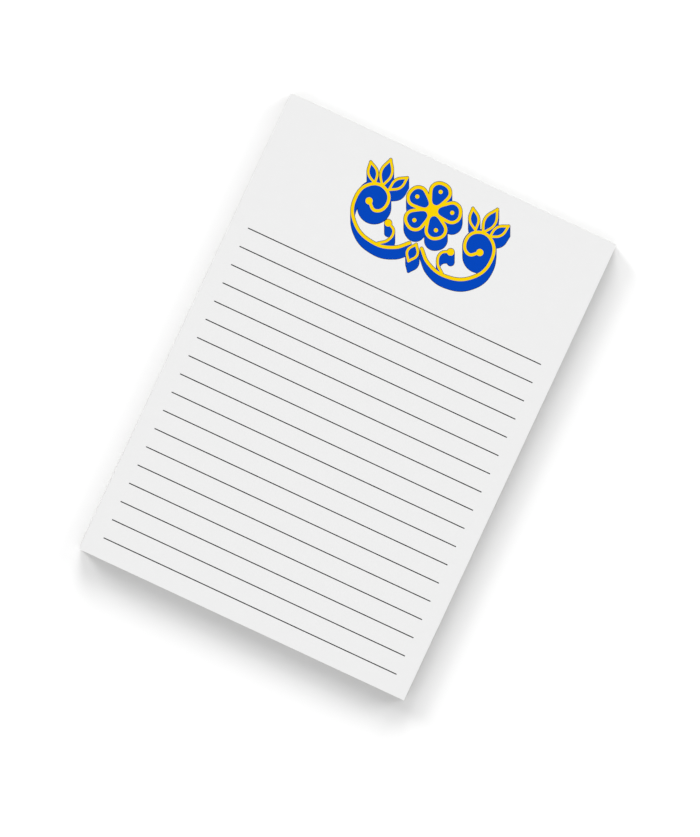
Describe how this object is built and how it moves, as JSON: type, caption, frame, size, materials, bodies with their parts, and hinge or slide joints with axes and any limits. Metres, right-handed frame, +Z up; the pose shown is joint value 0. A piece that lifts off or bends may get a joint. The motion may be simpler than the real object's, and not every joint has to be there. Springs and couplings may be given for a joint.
{
  "type": "scratch pad",
  "caption": "Tear-off scratch pad: ruled writing sheets with a printed heading space, on a stiff backing board, glued along the head edge.",
  "frame": {"origin": "on the underside of the backing board, at the middle of the pad's width and of its length with the glue film", "axes": "+Z up out of the writing face, +Y to the glued head edge, +X to the reader's right along the ruled lines"},
  "size_m": [0.127, 0.178, 0.0056],
  "materials": {
    "paper": "matte",
    "chipboard": "matte",
    "glue": "satin"
  },
  "bodies": {
    "root": {"sheet_block": "paper", "backing_board": "chipboard", "padding_glue": "glue"}
  },
  "joints": []
}
